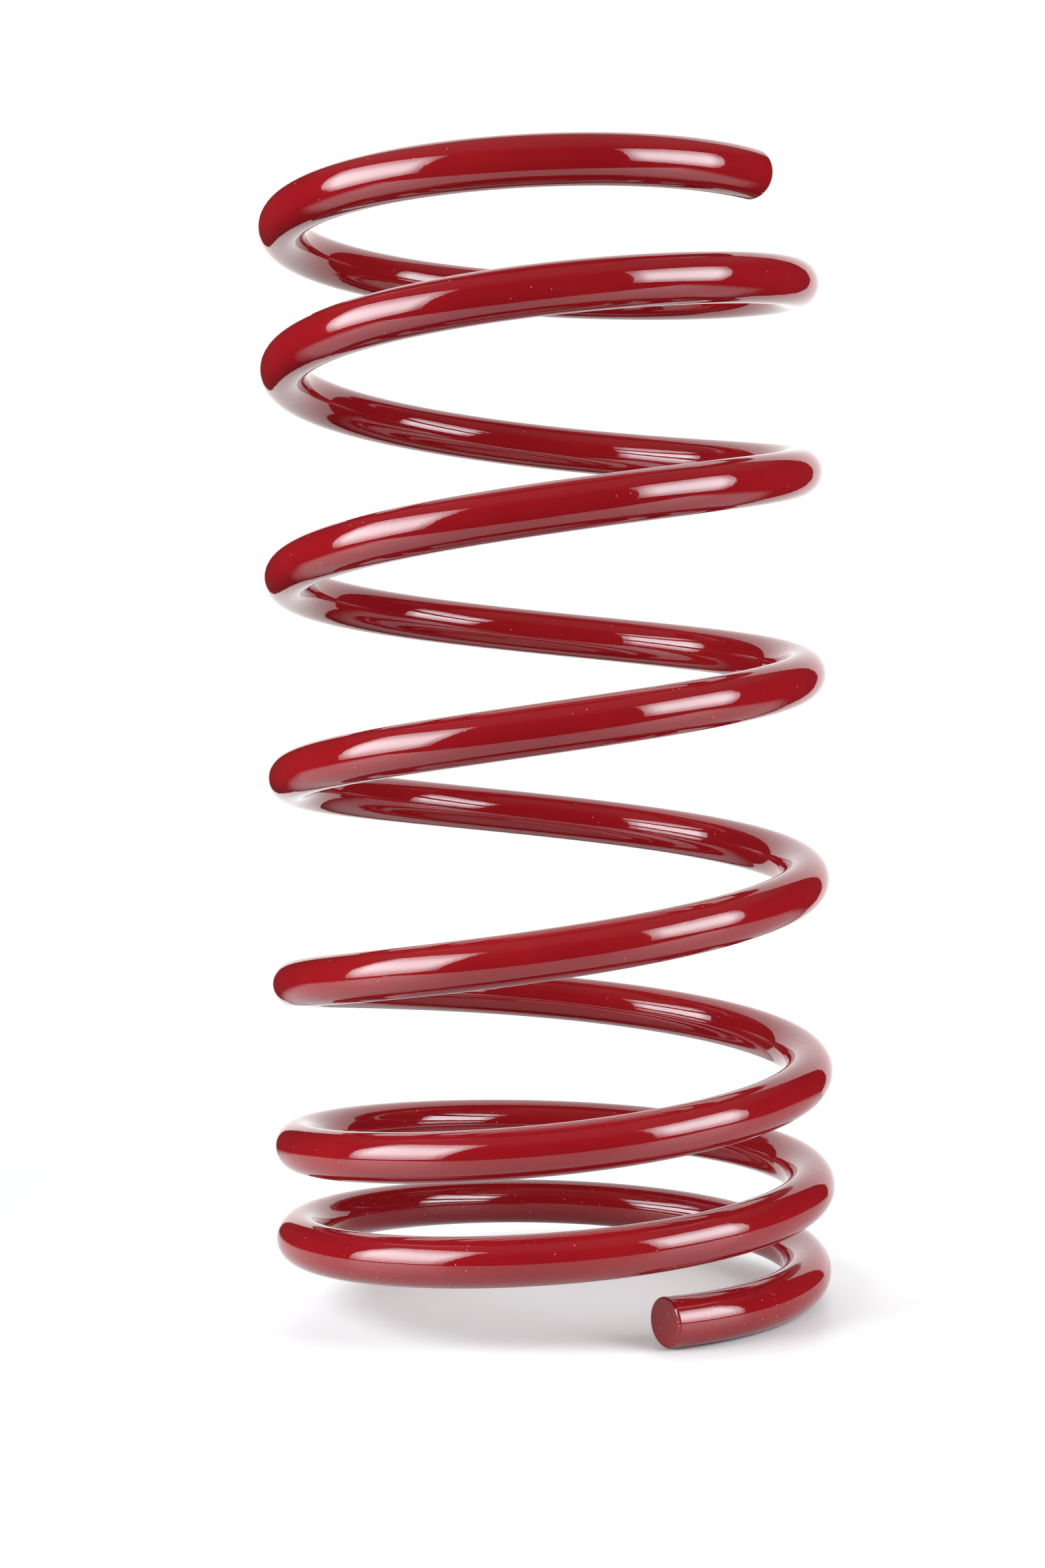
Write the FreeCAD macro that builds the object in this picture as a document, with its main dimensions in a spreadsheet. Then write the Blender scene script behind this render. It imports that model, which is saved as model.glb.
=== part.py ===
# Suspension coil spring: one round bar wound right-handed, seven turns and a bit.
# The bar is divided into quarter-turn stretches that meet face to face. Every
# dividing face is square to the bar's own centreline, so one stretch can turn on
# the next about that centreline, which is how the bar twists under load.
import FreeCAD, Part
import math
import os

V = FreeCAD.Vector
doc = FreeCAD.newDocument("coil_spring")

# ---------------------------------------------------------------- driving sizes
sheet = doc.addObject("Spreadsheet::Sheet", "Sizes")
sizes = [
    ("wire_diameter", 12.5, "round bar"),
    ("coil_diameter_bottom", 135.8, "mean diameter of the coil at its foot"),
    ("coil_diameter_top", 134.3, "mean diameter of the coil at its head"),
    ("bottom_cut_angle", -66.0, "where the bar starts, degrees from +X"),
    ("top_cut_angle", 2485.0, "where the bar ends, degrees wound from +X"),
    ("bottom_draw_in", 3.7, "how far the bottom tip is wound inwards"),
    ("bottom_draw_in_length", 161.0, "angle over which that happens"),
    ("top_draw_in", 1.6, "how far the top tip is wound inwards"),
    ("top_draw_in_length", 230.0, "angle over which that happens"),
    ("stretch_angle", 90.0, "one stretch of the divided bar"),
    ("cut_rim_radius", 0.9, "rounded rim of the two cut ends"),
]
# Winding diagram: the pitch (mm per turn) runs straight between these stations.
winding = [
    (-66.0, -7.0),
    (5.0, 19.3),
    (95.0, 21.8),
    (255.0, 26.4),
    (405.0, 19.7),
    (705.0, 43.0),
    (1005.0, 55.2),
    (1605.0, 51.5),
    (1905.0, 57.3),
    (2005.0, 44.3),
    (2225.0, 36.9),
    (2375.0, 18.6),
    (2485.0, 4.0),
]
for number, (angle, pitch) in enumerate(winding, 1):
    sizes.append(("station_%d_angle" % number, angle, "winding station, degrees"))
    sizes.append(("station_%d_pitch" % number, pitch, "pitch there, mm per turn"))
for row, (name, value, note) in enumerate(sizes, 1):
    sheet.set("A%d" % row, name)
    sheet.set("B%d" % row, str(value))
    sheet.set("C%d" % row, note)
    sheet.setAlias("B%d" % row, name)
doc.recompute()


def size(name):
    return float(getattr(sheet, name))


stations = []
for number in range(1, len(winding) + 1):
    stations.append((size("station_%d_angle" % number), size("station_%d_pitch" % number)))
start = size("bottom_cut_angle")
finish = size("top_cut_angle")


# ------------------------------------------------------------------- centreline
def coil_radius(angle):
    share = (angle - start) / (finish - start)
    foot = size("coil_diameter_bottom")
    mean = foot + (size("coil_diameter_top") - foot) * share
    low = max(0.0, 1.0 - (angle - start) / size("bottom_draw_in_length"))
    high = max(0.0, 1.0 - (finish - angle) / size("top_draw_in_length"))
    return mean / 2 - size("bottom_draw_in") * low ** 2 - size("top_draw_in") * high ** 2


def pitch_at(angle):
    for (a0, p0), (a1, p1) in zip(stations, stations[1:]):
        if angle <= a1:
            return p0 + (p1 - p0) * (angle - a0) / (a1 - a0)
    return stations[-1][1]


def rise(angle):
    """Height wound up since the bottom cut."""
    total = 0.0
    for (a0, p0), (a1, p1) in zip(stations, stations[1:]):
        if angle <= a0:
            break
        end = min(angle, a1)
        total += (p0 + pitch_at(end)) / 2 * (end - a0) / 360.0
    return total


def lowest_rise():
    probes = [rise(start + step * 0.5) for step in range(300)]
    return min(probes)


foot_height = size("wire_diameter") / 2 - lowest_rise()


def centre(angle):
    turn = math.radians(angle)
    radius = coil_radius(angle)
    return V(radius * math.cos(turn), radius * math.sin(turn), foot_height + rise(angle))


def heading(angle):
    """Unit direction of the bar, towards the top."""
    turn = math.radians(angle)
    radius = coil_radius(angle)
    step = 0.01
    growth = (coil_radius(angle + step) - coil_radius(angle - step)) / (2 * math.radians(step))
    climb = pitch_at(angle) / (2 * math.pi)
    along = V(-radius * math.sin(turn), radius * math.cos(turn), climb)
    along += V(growth * math.cos(turn), growth * math.sin(turn), 0)
    return along.normalize()


def spine_edge(first, last):
    count = max(6, int(math.ceil((last - first) / 7.5)))
    points = [centre(first + (last - first) * i / count) for i in range(count + 1)]
    along = [0.0]
    for here, there in zip(points, points[1:]):
        along.append(along[-1] + (there - here).Length)
    curve = Part.BSplineCurve()
    curve.interpolate(
        Points=points,
        Parameters=along,
        InitialTangent=heading(first),
        FinalTangent=heading(last),
        Scale=False,
    )
    return curve.toShape()


# ------------------------------------------------------- one stretch of the bar
def place_circle(circle, angle):
    turn = FreeCAD.Rotation(V(0, 0, 1), heading(angle))
    circle.Placement = FreeCAD.Placement(centre(angle), turn)


def make_bar(name, first, last):
    spine = doc.addObject("Part::Feature", name + "_centreline")
    spine.Shape = spine_edge(first, last)
    circle = doc.addObject("Part::Circle", name + "_section")
    circle.setExpression("Radius", "Sizes.wire_diameter / 2")
    place_circle(circle, first)
    bar = doc.addObject("Part::Sweep", name + "_bar")
    bar.Sections = [circle]
    bar.Spine = (spine, ["Edge1"])
    bar.Solid = True
    bar.Frenet = True
    doc.recompute()
    return bar


def round_rim(name, bar, angle):
    """Roll the rim of a cut end over."""
    nearest = 0
    best = 1e9
    for index, edge in enumerate(bar.Shape.Edges, 1):
        away = (edge.CenterOfMass - centre(angle)).Length
        if away < best:
            best = away
            nearest = index
    rim = doc.addObject("Part::Fillet", name + "_rim")
    rim.Base = bar
    radius = size("cut_rim_radius")
    rim.Edges = [(nearest, radius, radius)]
    doc.recompute()
    return rim


quarter = ["back_right", "back_left", "front_left", "front_right"]
step = size("stretch_angle")
cuts = []
angle = 0.0
while angle < finish - step / 2:
    cuts.append(angle)
    angle += step
limits = [start] + cuts + [finish]

pieces = []
for number, (first, last) in enumerate(zip(limits, limits[1:])):
    if number == 0:
        name = "end_stretch_bottom"
    elif number == len(limits) - 2:
        name = "end_stretch_top"
    else:
        coil = int(first // 360) + 1
        name = "coil_%d_%s" % (coil, quarter[int(first % 360 // 90)])
    bar = make_bar(name, first, last)
    if number == 0:
        bar = round_rim(name, bar, first)
    if number == len(limits) - 2:
        bar = round_rim(name, bar, last)
    bar.Label = name
    bar.Placement = FreeCAD.Placement(V(0, 0, 0), FreeCAD.Rotation())
    pieces.append((name, bar))
doc.recompute()

# ------------------------------------------------------------------- self-check
for item in doc.Objects:
    state = [str(s) for s in item.State]
    if "Invalid" in state or "Error" in state:
        raise RuntimeError("%s is %s" % (item.Label, state))
for name, item in pieces:
    shape = item.Shape
    if shape.isNull() or not shape.isValid() or len(shape.Solids) != 1:
        raise RuntimeError("%s has no single valid solid" % name)
    if shape.Volume <= 0:
        raise RuntimeError("%s is inside out" % name)

os.makedirs("parts", exist_ok=True)
for name, item in pieces:
    item.Shape.exportStep("parts/%s.step" % name)
    print(name, round(item.Shape.Volume, 1))
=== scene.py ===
import math
import bpy
import numpy as np
from mathutils import Matrix, Vector


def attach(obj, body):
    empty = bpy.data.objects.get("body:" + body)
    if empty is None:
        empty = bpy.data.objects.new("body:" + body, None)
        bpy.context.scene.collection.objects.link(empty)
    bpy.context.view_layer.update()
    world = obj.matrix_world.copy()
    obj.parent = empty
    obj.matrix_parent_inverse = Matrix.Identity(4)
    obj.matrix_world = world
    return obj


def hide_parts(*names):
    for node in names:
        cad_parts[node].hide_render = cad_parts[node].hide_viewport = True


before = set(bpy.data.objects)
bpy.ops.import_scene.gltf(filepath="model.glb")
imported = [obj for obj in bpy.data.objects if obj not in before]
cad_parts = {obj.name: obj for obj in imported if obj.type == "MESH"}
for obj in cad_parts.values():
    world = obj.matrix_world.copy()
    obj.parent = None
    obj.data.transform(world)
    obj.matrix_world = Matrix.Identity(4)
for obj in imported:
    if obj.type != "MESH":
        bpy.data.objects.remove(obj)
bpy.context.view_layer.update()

# ------------------------------------------------------------ the wound bar
# The same winding as the CAD bar, in millimetres; meshes are made in metres.
WIRE = 6.25  # the bar's radius
START, FINISH = -66.0, 2485.0
FOOT_MEAN, HEAD_MEAN = 135.8, 134.3
FOOT_DRAW, FOOT_DRAW_SPAN = 3.7, 161.0
HEAD_DRAW, HEAD_DRAW_SPAN = 1.6, 230.0
RIM_BOTTOM, RIM_TOP = 0.55, 0.95
LEAN = math.tan(math.radians(11.0))
# degrees wound since the right-hand side, and the pitch there
STATIONS = [
    (-66, -7.0), (5, 19.3), (95, 21.8), (255, 26.4), (405, 19.7), (705, 43.0), (1005, 55.2),
    (1605, 51.5), (1905, 57.3), (2005, 44.3), (2225, 36.9), (2375, 18.6), (2485, 4.0),
]
ANGLES = np.array([a for a, p in STATIONS], float)
PITCHES = np.array([p for a, p in STATIONS], float)


def rise(angle):
    """Height wound up since the bottom cut."""
    angle = np.asarray(angle, float)
    total = np.zeros_like(angle)
    for (a0, p0), (a1, p1) in zip(STATIONS, STATIONS[1:]):
        end = np.clip(angle, a0, a1)
        here = p0 + (p1 - p0) * (end - a0) / (a1 - a0)
        total += (p0 + here) / 2 * (end - a0) / 360.0
    return total


# lifts the lowest point of the bar to the floor
FOOT = WIRE - rise(np.arange(START, START + 150, 0.5)).min()


def coil_radius(angle):
    """Mean radius of the coil; both ends are drawn in a little."""
    angle = np.asarray(angle, float)
    mean = FOOT_MEAN + (HEAD_MEAN - FOOT_MEAN) * (angle - START) / (FINISH - START)
    low = np.clip(1 - (angle - START) / FOOT_DRAW_SPAN, 0, None)
    high = np.clip(1 - (FINISH - angle) / HEAD_DRAW_SPAN, 0, None)
    return mean / 2 - FOOT_DRAW * low ** 2 - HEAD_DRAW * high ** 2


def centre(angle):
    """Points on the bar's centreline."""
    angle = np.asarray(angle, float)
    turn = np.radians(angle)
    radius = coil_radius(angle)
    return np.stack([radius * np.cos(turn), radius * np.sin(turn), FOOT + rise(angle)], -1)


def frames(angle):
    """Along the bar, outwards and across it, one set for each angle."""
    angle = np.asarray(angle, float)
    turn = np.radians(angle)
    radius = coil_radius(angle)
    step = 0.01
    growth = (coil_radius(angle + step) - coil_radius(angle - step)) / (2 * np.radians(step))
    climb = np.interp(angle, ANGLES, PITCHES) / (2 * np.pi)
    along = np.stack([growth * np.cos(turn) - radius * np.sin(turn),
                      growth * np.sin(turn) + radius * np.cos(turn), climb], -1)
    along /= np.linalg.norm(along, axis=-1, keepdims=True)
    out = np.stack([np.cos(turn), np.sin(turn), np.zeros_like(turn)], -1)
    out -= (out * along).sum(-1, keepdims=True) * along
    out /= np.linalg.norm(out, axis=-1, keepdims=True)
    return along, out, np.cross(along, out)


AROUND = 64
ROLLED_ROWS = 6
SPIN = np.linspace(0, 2 * np.pi, AROUND, endpoint=False)


def hash_noise(x, y, seed):
    """Smooth repeatable noise from a few sine waves."""
    rng = np.random.default_rng(seed)
    total = 0.0
    for k in range(7):
        fx, fy, ph = rng.uniform(-1, 1), rng.uniform(-1, 1), rng.uniform(0, 6.28)
        total = total + np.sin(x * fx * (1 + k * 0.6) + y * fy * (1 + k * 0.6) + ph) / (1 + 0.5 * k)
    return total / 3.0


def bump_at(degrees, width):
    """A smooth bump round the bar's section, 1 at the given direction."""
    off = np.angle(np.exp(1j * (SPIN - math.radians(degrees))))
    return np.exp(-(off / width) ** 2)


def cut_rings(end, sign, rim, lean, seed):
    """Rings that close the bar at a sheared end: a rolled rim, then a slightly uneven face."""
    along, out, across = (v[0] for v in frames([end]))
    base = centre([end])[0]
    rings = []
    profile = []
    for roll in np.radians([10, 22, 36, 50, 64, 78, 90]):
        profile.append((WIRE - rim * (1 - math.cos(roll)), rim * (1 - math.sin(roll))))
    profile += [(r, 0.0) for r in (5.4, 5.1, 4.7, 4.1, 3.5, 2.8, 2.0, 1.1)]
    for reach, back in profile:
        px = reach * np.cos(SPIN)
        py = reach * np.sin(SPIN)
        lump = 0.07 * hash_noise(px * 1.1, py * 1.1, seed)
        if sign < 0:
            # lip rolled over the outer side by the shear, with a small chip in it
            edge = np.exp(-((reach - 5.70) / 0.30) ** 2)
            side = bump_at(-8, 0.9)
            chip = bump_at(-14, 0.10)
            lump = lump + edge * (0.20 * side - 0.85 * chip)
            lump = lump - 0.16 * np.exp(-(((px + 0.6) / 2.2) ** 2 + ((py - 1.0) / 3.0) ** 2))
        fade = min(1.0, max(0.0, (WIRE - reach) / rim))
        shift = sign * (lump * fade - back) - sign * lean * px
        rings.append(base + px[:, None] * out + py[:, None] * across + shift[:, None] * along)
    return rings


def make_bar(name, node, first, last, paint, cut_paint):
    """One stretch of the coated bar, closed at both ends, with the tube's own exact normals."""
    steps = max(8, int(round((last - first) / 1.5)))
    angles = np.linspace(first, last, steps + 1)
    along, out, across = frames(angles)
    mid = centre(angles)
    wave = np.cos(SPIN)[None, :, None] * out[:, None, :]
    wave = wave + np.sin(SPIN)[None, :, None] * across[:, None, :]
    rings = list(mid[:, None, :] + WIRE * wave)
    normals = list(wave)
    front_extra = back_extra = 0
    if node == "end_stretch_bottom":
        # the tube stops where the rolled rim starts
        extra = cut_rings(first, -1, RIM_BOTTOM, LEAN, 5)
        px = WIRE * np.cos(SPIN)
        rings[0] = mid[0] + WIRE * wave[0] + ((RIM_BOTTOM + LEAN * px)[:, None]) * along[0]
        rings = extra[::-1] + rings
        front_extra = len(extra)
    if node == "end_stretch_top":
        extra = cut_rings(last, 1, RIM_TOP, 0.0, 9)
        rings[-1] = mid[-1] + WIRE * wave[-1] - RIM_TOP * along[-1]
        rings = rings + extra
        back_extra = len(extra)
    count = len(rings)
    points = np.concatenate(rings) / 1000.0
    faces = []
    kinds = []
    # the cut faces' own rows, without the rolls of their rims
    face_first = front_extra - ROLLED_ROWS
    face_last = count - 1 - (back_extra - ROLLED_ROWS if back_extra else 0)
    for i in range(count - 1):
        for j in range(AROUND):
            k = (j + 1) % AROUND
            faces.append((i * AROUND + j, i * AROUND + k, (i + 1) * AROUND + k, (i + 1) * AROUND + j))
            kinds.append(1 if i < face_first or i >= face_last else 0)
    faces.append(tuple(range(AROUND - 1, -1, -1)))
    kinds.append(1 if front_extra else 0)
    last_ring = (count - 1) * AROUND
    faces.append(tuple(last_ring + j for j in range(AROUND)))
    kinds.append(1 if back_extra else 0)
    mesh = bpy.data.meshes.new(name)
    mesh.from_pydata([tuple(p) for p in points], [], faces)
    mesh.materials.append(paint)
    mesh.materials.append(cut_paint)
    mesh.polygons.foreach_set("material_index", kinds)
    mesh.polygons.foreach_set("use_smooth", [True] * len(faces))
    mesh.update()
    zero = (0.0, 0.0, 0.0)
    vertex_normal = [zero] * len(points)
    for i in range(len(normals)):
        ring = i + front_extra
        if (front_extra and i == 0) or (back_extra and i == len(normals) - 1):
            continue
        for j in range(AROUND):
            vertex_normal[ring * AROUND + j] = tuple(normals[i][j])
    loops = []
    # the flat faces where stretches meet; a cut face keeps its computed normals
    caps = {
        len(faces) - 2: zero if front_extra else tuple(-along[0]),
        len(faces) - 1: zero if back_extra else tuple(along[-1]),
    }
    for poly in mesh.polygons:
        flat = caps.get(poly.index)
        for v in poly.vertices:
            loops.append(vertex_normal[v] if flat is None else flat)
    mesh.normals_split_custom_set(loops)
    piece = bpy.data.objects.new(name, mesh)
    bpy.context.collection.objects.link(piece)
    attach(piece, node)
    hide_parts(node)
    return piece


# ---------------------------------------------------------------- materials
def node_tree(mat):
    mat.use_nodes = True
    tree = mat.node_tree
    tree.nodes.clear()
    return tree, tree.nodes, tree.links


def red_coat(name, roughness, peel, dull):
    """Glossy red powder coat: orange peel, faint colour drift, dust specks."""
    mat = bpy.data.materials.new(name)
    tree, nodes, links = node_tree(mat)
    out = nodes.new("ShaderNodeOutputMaterial")
    shader = nodes.new("ShaderNodeBsdfPrincipled")
    links.new(shader.outputs["BSDF"], out.inputs["Surface"])
    shader.inputs["IOR"].default_value = 1.5
    place = nodes.new("ShaderNodeTexCoord")

    drift = nodes.new("ShaderNodeTexNoise")
    drift.inputs["Scale"].default_value = 38.0
    drift.inputs["Detail"].default_value = 3.0
    links.new(place.outputs["Object"], drift.inputs["Vector"])
    colours = nodes.new("ShaderNodeValToRGB")
    colours.color_ramp.elements[0].position = 0.3
    colours.color_ramp.elements[0].color = (0.158, 0.0030, 0.0056, 1)
    colours.color_ramp.elements[1].position = 0.7
    colours.color_ramp.elements[1].color = (0.182, 0.0048, 0.0062, 1)
    links.new(drift.outputs["Fac"], colours.inputs["Fac"])

    # dust specks: tiny and pale, each in its own cell
    cells = nodes.new("ShaderNodeTexVoronoi")
    cells.inputs["Scale"].default_value = 620.0
    links.new(place.outputs["Object"], cells.inputs["Vector"])
    near = nodes.new("ShaderNodeMath")
    near.operation = "LESS_THAN"
    links.new(cells.outputs["Distance"], near.inputs[0])
    near.inputs[1].default_value = 0.068
    pick = nodes.new("ShaderNodeSeparateColor")
    links.new(cells.outputs["Color"], pick.inputs["Color"])
    few = nodes.new("ShaderNodeMath")
    few.operation = "GREATER_THAN"
    links.new(pick.outputs["Red"], few.inputs[0])
    # more of them on the lowest coil, fewer higher up
    height = nodes.new("ShaderNodeSeparateXYZ")
    links.new(place.outputs["Object"], height.inputs["Vector"])
    sparse = nodes.new("ShaderNodeMapRange")
    links.new(height.outputs["Z"], sparse.inputs["Value"])
    sparse.inputs["From Min"].default_value = 0.012
    sparse.inputs["From Max"].default_value = 0.045
    sparse.inputs["To Min"].default_value = 0.30
    sparse.inputs["To Max"].default_value = 0.90
    links.new(sparse.outputs["Result"], few.inputs[1])
    speck = nodes.new("ShaderNodeMath")
    speck.operation = "MULTIPLY"
    links.new(near.outputs[0], speck.inputs[0])
    links.new(few.outputs[0], speck.inputs[1])
    paint = nodes.new("ShaderNodeMix")
    paint.data_type = "RGBA"
    links.new(speck.outputs[0], paint.inputs["Factor"])
    links.new(colours.outputs["Color"], paint.inputs["A"])
    paint.inputs["B"].default_value = (0.62, 0.36, 0.30, 1)
    links.new(paint.outputs["Result"], shader.inputs["Base Color"])

    # the gloss is a little uneven
    gloss = nodes.new("ShaderNodeMapRange")
    links.new(drift.outputs["Fac"], gloss.inputs["Value"])
    gloss.inputs["To Min"].default_value = roughness * 0.8
    gloss.inputs["To Max"].default_value = roughness * 1.25
    links.new(gloss.outputs["Result"], shader.inputs["Roughness"])

    peel_noise = nodes.new("ShaderNodeTexNoise")
    peel_noise.inputs["Scale"].default_value = 260.0
    peel_noise.inputs["Detail"].default_value = 2.5
    peel_noise.inputs["Roughness"].default_value = 0.45
    links.new(place.outputs["Object"], peel_noise.inputs["Vector"])
    bump = nodes.new("ShaderNodeBump")
    bump.inputs["Strength"].default_value = 1.0
    bump.inputs["Distance"].default_value = peel
    links.new(peel_noise.outputs["Fac"], bump.inputs["Height"])
    if dull:
        grain = nodes.new("ShaderNodeTexNoise")
        grain.inputs["Scale"].default_value = 900.0
        grain.inputs["Detail"].default_value = 4.0
        links.new(place.outputs["Object"], grain.inputs["Vector"])
        rough_bump = nodes.new("ShaderNodeBump")
        rough_bump.inputs["Strength"].default_value = 1.0
        rough_bump.inputs["Distance"].default_value = 0.00003
        links.new(grain.outputs["Fac"], rough_bump.inputs["Height"])
        links.new(bump.outputs["Normal"], rough_bump.inputs["Normal"])
        links.new(rough_bump.outputs["Normal"], shader.inputs["Normal"])
    else:
        links.new(bump.outputs["Normal"], shader.inputs["Normal"])
    return mat


coat = red_coat("red_coat", 0.05, 0.00003, False)
cut_coat = red_coat("red_coat_cut_face", 0.24, 0.00008, True)

quarter = ["back_right", "back_left", "front_left", "front_right"]
limits = [START] + [90.0 * i for i in range(28)] + [FINISH]
for number, (first, last) in enumerate(zip(limits, limits[1:])):
    if number == 0:
        node = "end_stretch_bottom"
    elif number == len(limits) - 2:
        node = "end_stretch_top"
    else:
        node = "coil_%d_%s" % (int(first // 360) + 1, quarter[int(first % 360 // 90)])
    make_bar("bar_" + node, node, first, last, coat, cut_coat)


# ------------------------------------------------------------------- studio
def floor_material():
    mat = bpy.data.materials.new("pale_floor")
    tree, nodes, links = node_tree(mat)
    out = nodes.new("ShaderNodeOutputMaterial")
    shader = nodes.new("ShaderNodeBsdfPrincipled")
    shader.inputs["Base Color"].default_value = (0.665, 0.645, 0.635, 1)
    shader.inputs["Roughness"].default_value = 0.45
    # the sheet thins out towards its far edge, so that no seam shows against the white beyond
    place = nodes.new("ShaderNodeTexCoord")
    axes = nodes.new("ShaderNodeSeparateXYZ")
    links.new(place.outputs["Object"], axes.inputs["Vector"])
    thin = nodes.new("ShaderNodeMapRange")
    thin.interpolation_type = "SMOOTHSTEP"
    links.new(axes.outputs["Y"], thin.inputs["Value"])
    thin.inputs["From Min"].default_value = 0.10
    thin.inputs["From Max"].default_value = 0.26
    aside = nodes.new("ShaderNodeMath")
    aside.operation = "ABSOLUTE"
    links.new(axes.outputs["X"], aside.inputs[0])
    wide = nodes.new("ShaderNodeMapRange")
    wide.interpolation_type = "SMOOTHSTEP"
    links.new(aside.outputs[0], wide.inputs["Value"])
    wide.inputs["From Min"].default_value = 0.38
    wide.inputs["From Max"].default_value = 0.62
    gone = nodes.new("ShaderNodeMath")
    gone.operation = "MAXIMUM"
    links.new(thin.outputs["Result"], gone.inputs[0])
    links.new(wide.outputs["Result"], gone.inputs[1])
    clear = nodes.new("ShaderNodeBsdfTransparent")
    mix = nodes.new("ShaderNodeMixShader")
    links.new(gone.outputs[0], mix.inputs["Fac"])
    links.new(shader.outputs["BSDF"], mix.inputs[1])
    links.new(clear.outputs[0], mix.inputs[2])
    links.new(mix.outputs[0], out.inputs["Surface"])
    return mat


def plane(name, x0, x1, y0, y1, z):
    mesh = bpy.data.meshes.new(name)
    mesh.from_pydata([(x0, y0, z), (x1, y0, z), (x1, y1, z), (x0, y1, z)], [], [(0, 1, 2, 3)])
    obj = bpy.data.objects.new(name, mesh)
    bpy.context.collection.objects.link(obj)
    return obj


floor = plane("floor", -0.63, 0.63, -0.27, 0.27, -0.0002)
floor.data.materials.append(floor_material())


def area_light(name, width, height, radiance, tint, place, away):
    data = bpy.data.lights.new(name, "AREA")
    data.shape = "RECTANGLE"
    data.size = width
    data.size_y = height
    data.energy = radiance * math.pi * width * height
    data.color = tint
    lamp = bpy.data.objects.new(name, data)
    bpy.context.collection.objects.link(lamp)
    lamp.location = place
    lamp.rotation_euler = away.to_track_quat("Z", "Y").to_euler()
    lamp.visible_camera = False
    return lamp


def soften(lamp, edge_x, edge_y, rim):
    """The box is brightest in its middle: the strength falls to rim at its edges."""
    data = lamp.data
    data.use_nodes = True
    nodes, links = data.node_tree.nodes, data.node_tree.links
    nodes.clear()
    out = nodes.new("ShaderNodeOutputLight")
    glow = nodes.new("ShaderNodeEmission")
    links.new(glow.outputs[0], out.inputs["Surface"])
    shape = nodes.new("ShaderNodeNewGeometry")
    spots = nodes.new("ShaderNodeSeparateXYZ")
    links.new(shape.outputs["Parametric"], spots.inputs["Vector"])
    parts = []
    for axis, edge in (("X", edge_x), ("Y", edge_y)):
        off = nodes.new("ShaderNodeMath")
        off.operation = "SUBTRACT"
        links.new(spots.outputs[axis], off.inputs[0])
        off.inputs[1].default_value = 0.5
        size = nodes.new("ShaderNodeMath")
        size.operation = "ABSOLUTE"
        links.new(off.outputs[0], size.inputs[0])
        fall = nodes.new("ShaderNodeMapRange")
        fall.interpolation_type = "SMOOTHSTEP"
        links.new(size.outputs[0], fall.inputs["Value"])
        fall.inputs["From Min"].default_value = 0.5 - edge
        fall.inputs["From Max"].default_value = 0.5
        fall.inputs["To Min"].default_value = 1.0
        fall.inputs["To Max"].default_value = rim
        parts.append(fall.outputs["Result"])
    both = nodes.new("ShaderNodeMath")
    both.operation = "MULTIPLY"
    links.new(parts[0], both.inputs[0])
    links.new(parts[1], both.inputs[1])
    links.new(both.outputs[0], glow.inputs["Strength"])


def soft_box(name, azimuth, elevation, distance, width, height, radiance, tint):
    """Azimuth 0 is the camera's side, positive to its right."""
    a, e = math.radians(azimuth), math.radians(elevation)
    away = Vector((math.sin(a) * math.cos(e), -math.cos(a) * math.cos(e), math.sin(e)))
    lamp = area_light(name, width, height, radiance, tint, Vector((0, 0, 0.147)) + away * distance, away)
    soften(lamp, 0.20, 0.44, 0.36)
    return lamp


BOX_TINT = (0.91, 0.985, 1.03)
WHITE = (1, 1, 1)
soft_box("soft_box_left", -66, 19, 0.80, 0.70, 0.80, 15.0, BOX_TINT)
soft_box("soft_box_right", 58, 17, 0.80, 0.62, 0.68, 15.0, BOX_TINT)
# the lit white sheet that hangs behind the object
area_light("back_sheet", 0.53, 0.95, 1.3, WHITE, Vector((0.075, 0.36, 0.42)), Vector((0, 1, 0)))
# a broad overhead panel that only brightens the floor
overhead = Vector((0, 0.5, 1.3))
floor_panel = area_light("floor_panel", 2.4, 2.4, 0.50, WHITE, overhead, Vector((0, 0, 1)))
only_floor = bpy.data.collections.new("only_floor")
only_floor.objects.link(floor)
floor_panel.light_linking.receiver_collection = only_floor


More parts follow.
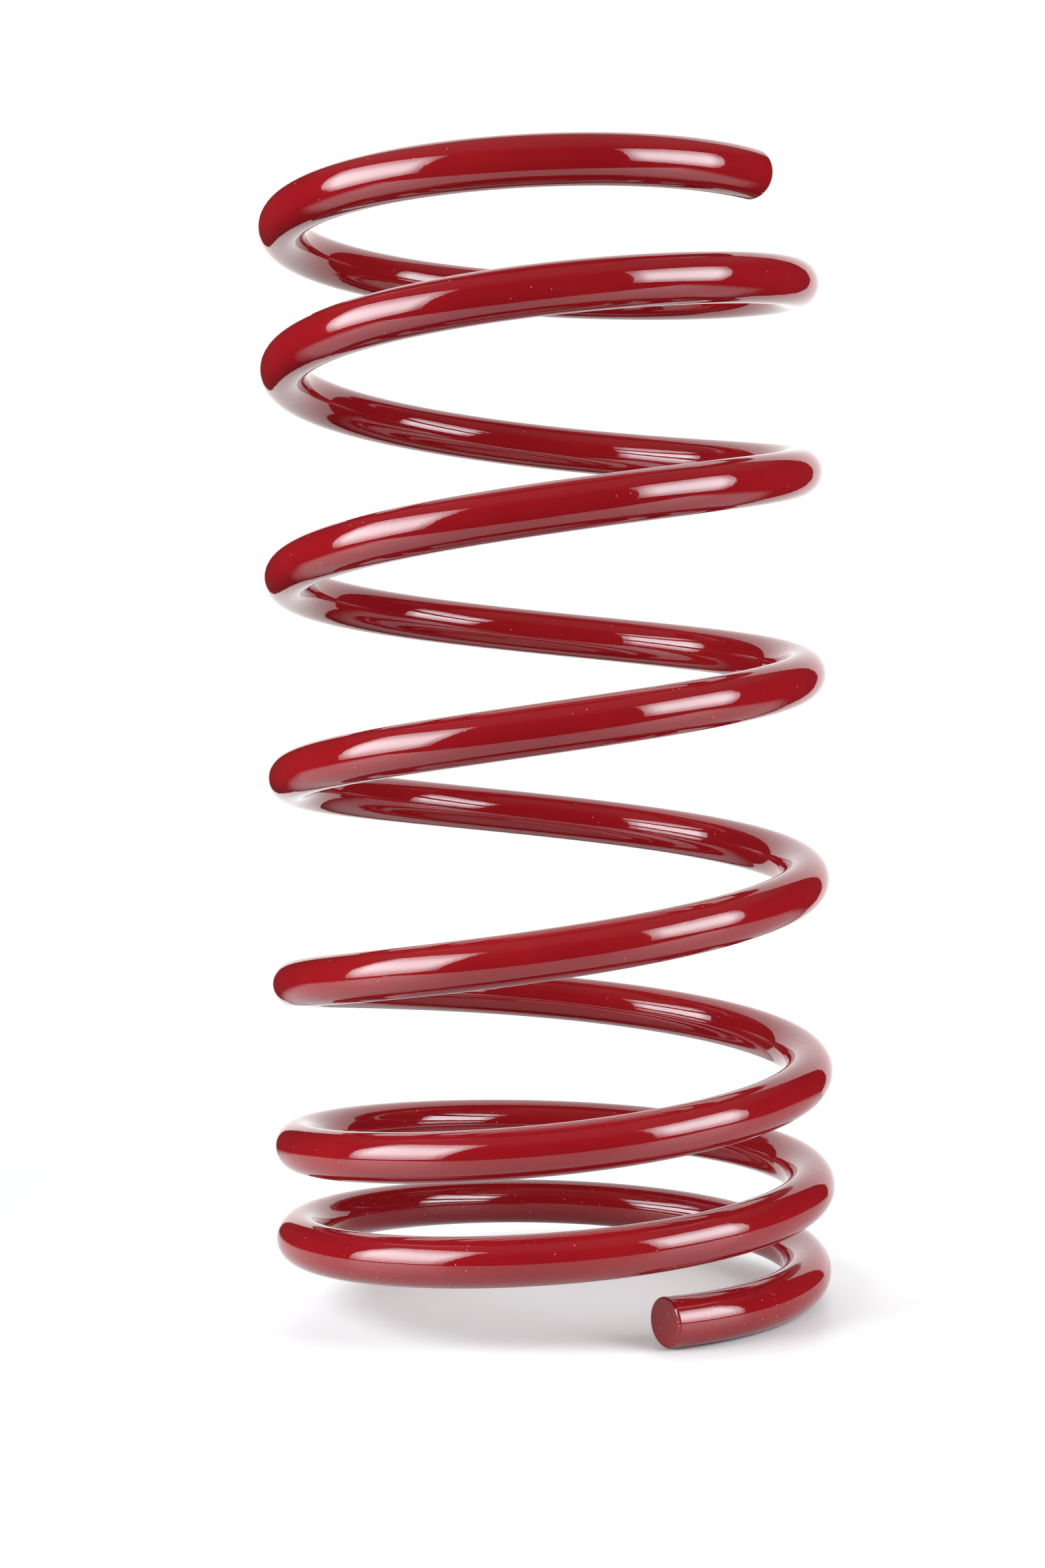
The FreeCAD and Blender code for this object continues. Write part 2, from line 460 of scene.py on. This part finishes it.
def studio_world():
    """White behind the object for the camera, a dim room for everything else."""
    world = bpy.data.worlds.new("studio")
    bpy.context.scene.world = world
    world.use_nodes = True
    tree = world.node_tree
    nodes, links = tree.nodes, tree.links
    nodes.clear()
    out = nodes.new("ShaderNodeOutputWorld")
    place = nodes.new("ShaderNodeTexCoord")
    axes = nodes.new("ShaderNodeSeparateXYZ")
    links.new(place.outputs["Generated"], axes.inputs["Vector"])

    ceiling = nodes.new("ShaderNodeMapRange")
    ceiling.interpolation_type = "SMOOTHSTEP"
    links.new(axes.outputs["Z"], ceiling.inputs["Value"])
    ceiling.inputs["From Min"].default_value = 0.5
    ceiling.inputs["From Max"].default_value = 0.9
    ceiling.inputs["To Min"].default_value = 0.03
    ceiling.inputs["To Max"].default_value = 0.28
    # dark at the horizon, with a dim ceiling
    dim = nodes.new("ShaderNodeBackground")
    links.new(ceiling.outputs["Result"], dim.inputs["Strength"])
    dim.inputs["Color"].default_value = (0.98, 0.98, 1.0, 1)
    white = nodes.new("ShaderNodeBackground")
    white.inputs["Color"].default_value = (1, 1, 1, 1)
    white.inputs["Strength"].default_value = 1.0
    path = nodes.new("ShaderNodeLightPath")
    mix = nodes.new("ShaderNodeMixShader")
    links.new(path.outputs["Is Camera Ray"], mix.inputs["Fac"])
    links.new(dim.outputs[0], mix.inputs[1])
    links.new(white.outputs[0], mix.inputs[2])
    links.new(mix.outputs[0], out.inputs["Surface"])


studio_world()

# ------------------------------------------------------------------- camera
YAW, PITCH, ROLL = -0.009521, -0.031286, -0.019217
cy, sy = math.cos(YAW), math.sin(YAW)
cp, sp = math.cos(PITCH), math.sin(PITCH)
cr, sr = math.cos(ROLL), math.sin(ROLL)
right = Vector((cy, -sy, 0))
ahead = Vector((sy, cy, 0))
up = Vector((0, 0, 1))
ahead, up = ahead * cp + up * sp, up * cp - ahead * sp
right, up = right * cr + up * sr, up * cr - right * sr
data = bpy.data.cameras.new("camera")
data.sensor_fit = "VERTICAL"
data.sensor_height = 36.0
data.lens = 36.0 * 3956.4 / 2352.0
camera = bpy.data.objects.new("camera", data)
bpy.context.collection.objects.link(camera)
turn = Matrix((right, up, -ahead)).transposed()
camera.matrix_world = Matrix.Translation((0.0, -0.69806, 0.15213 + FOOT / 1000)) @ turn.to_4x4()
bpy.context.scene.camera = camera
bpy.context.scene.view_settings.view_transform = "Standard"
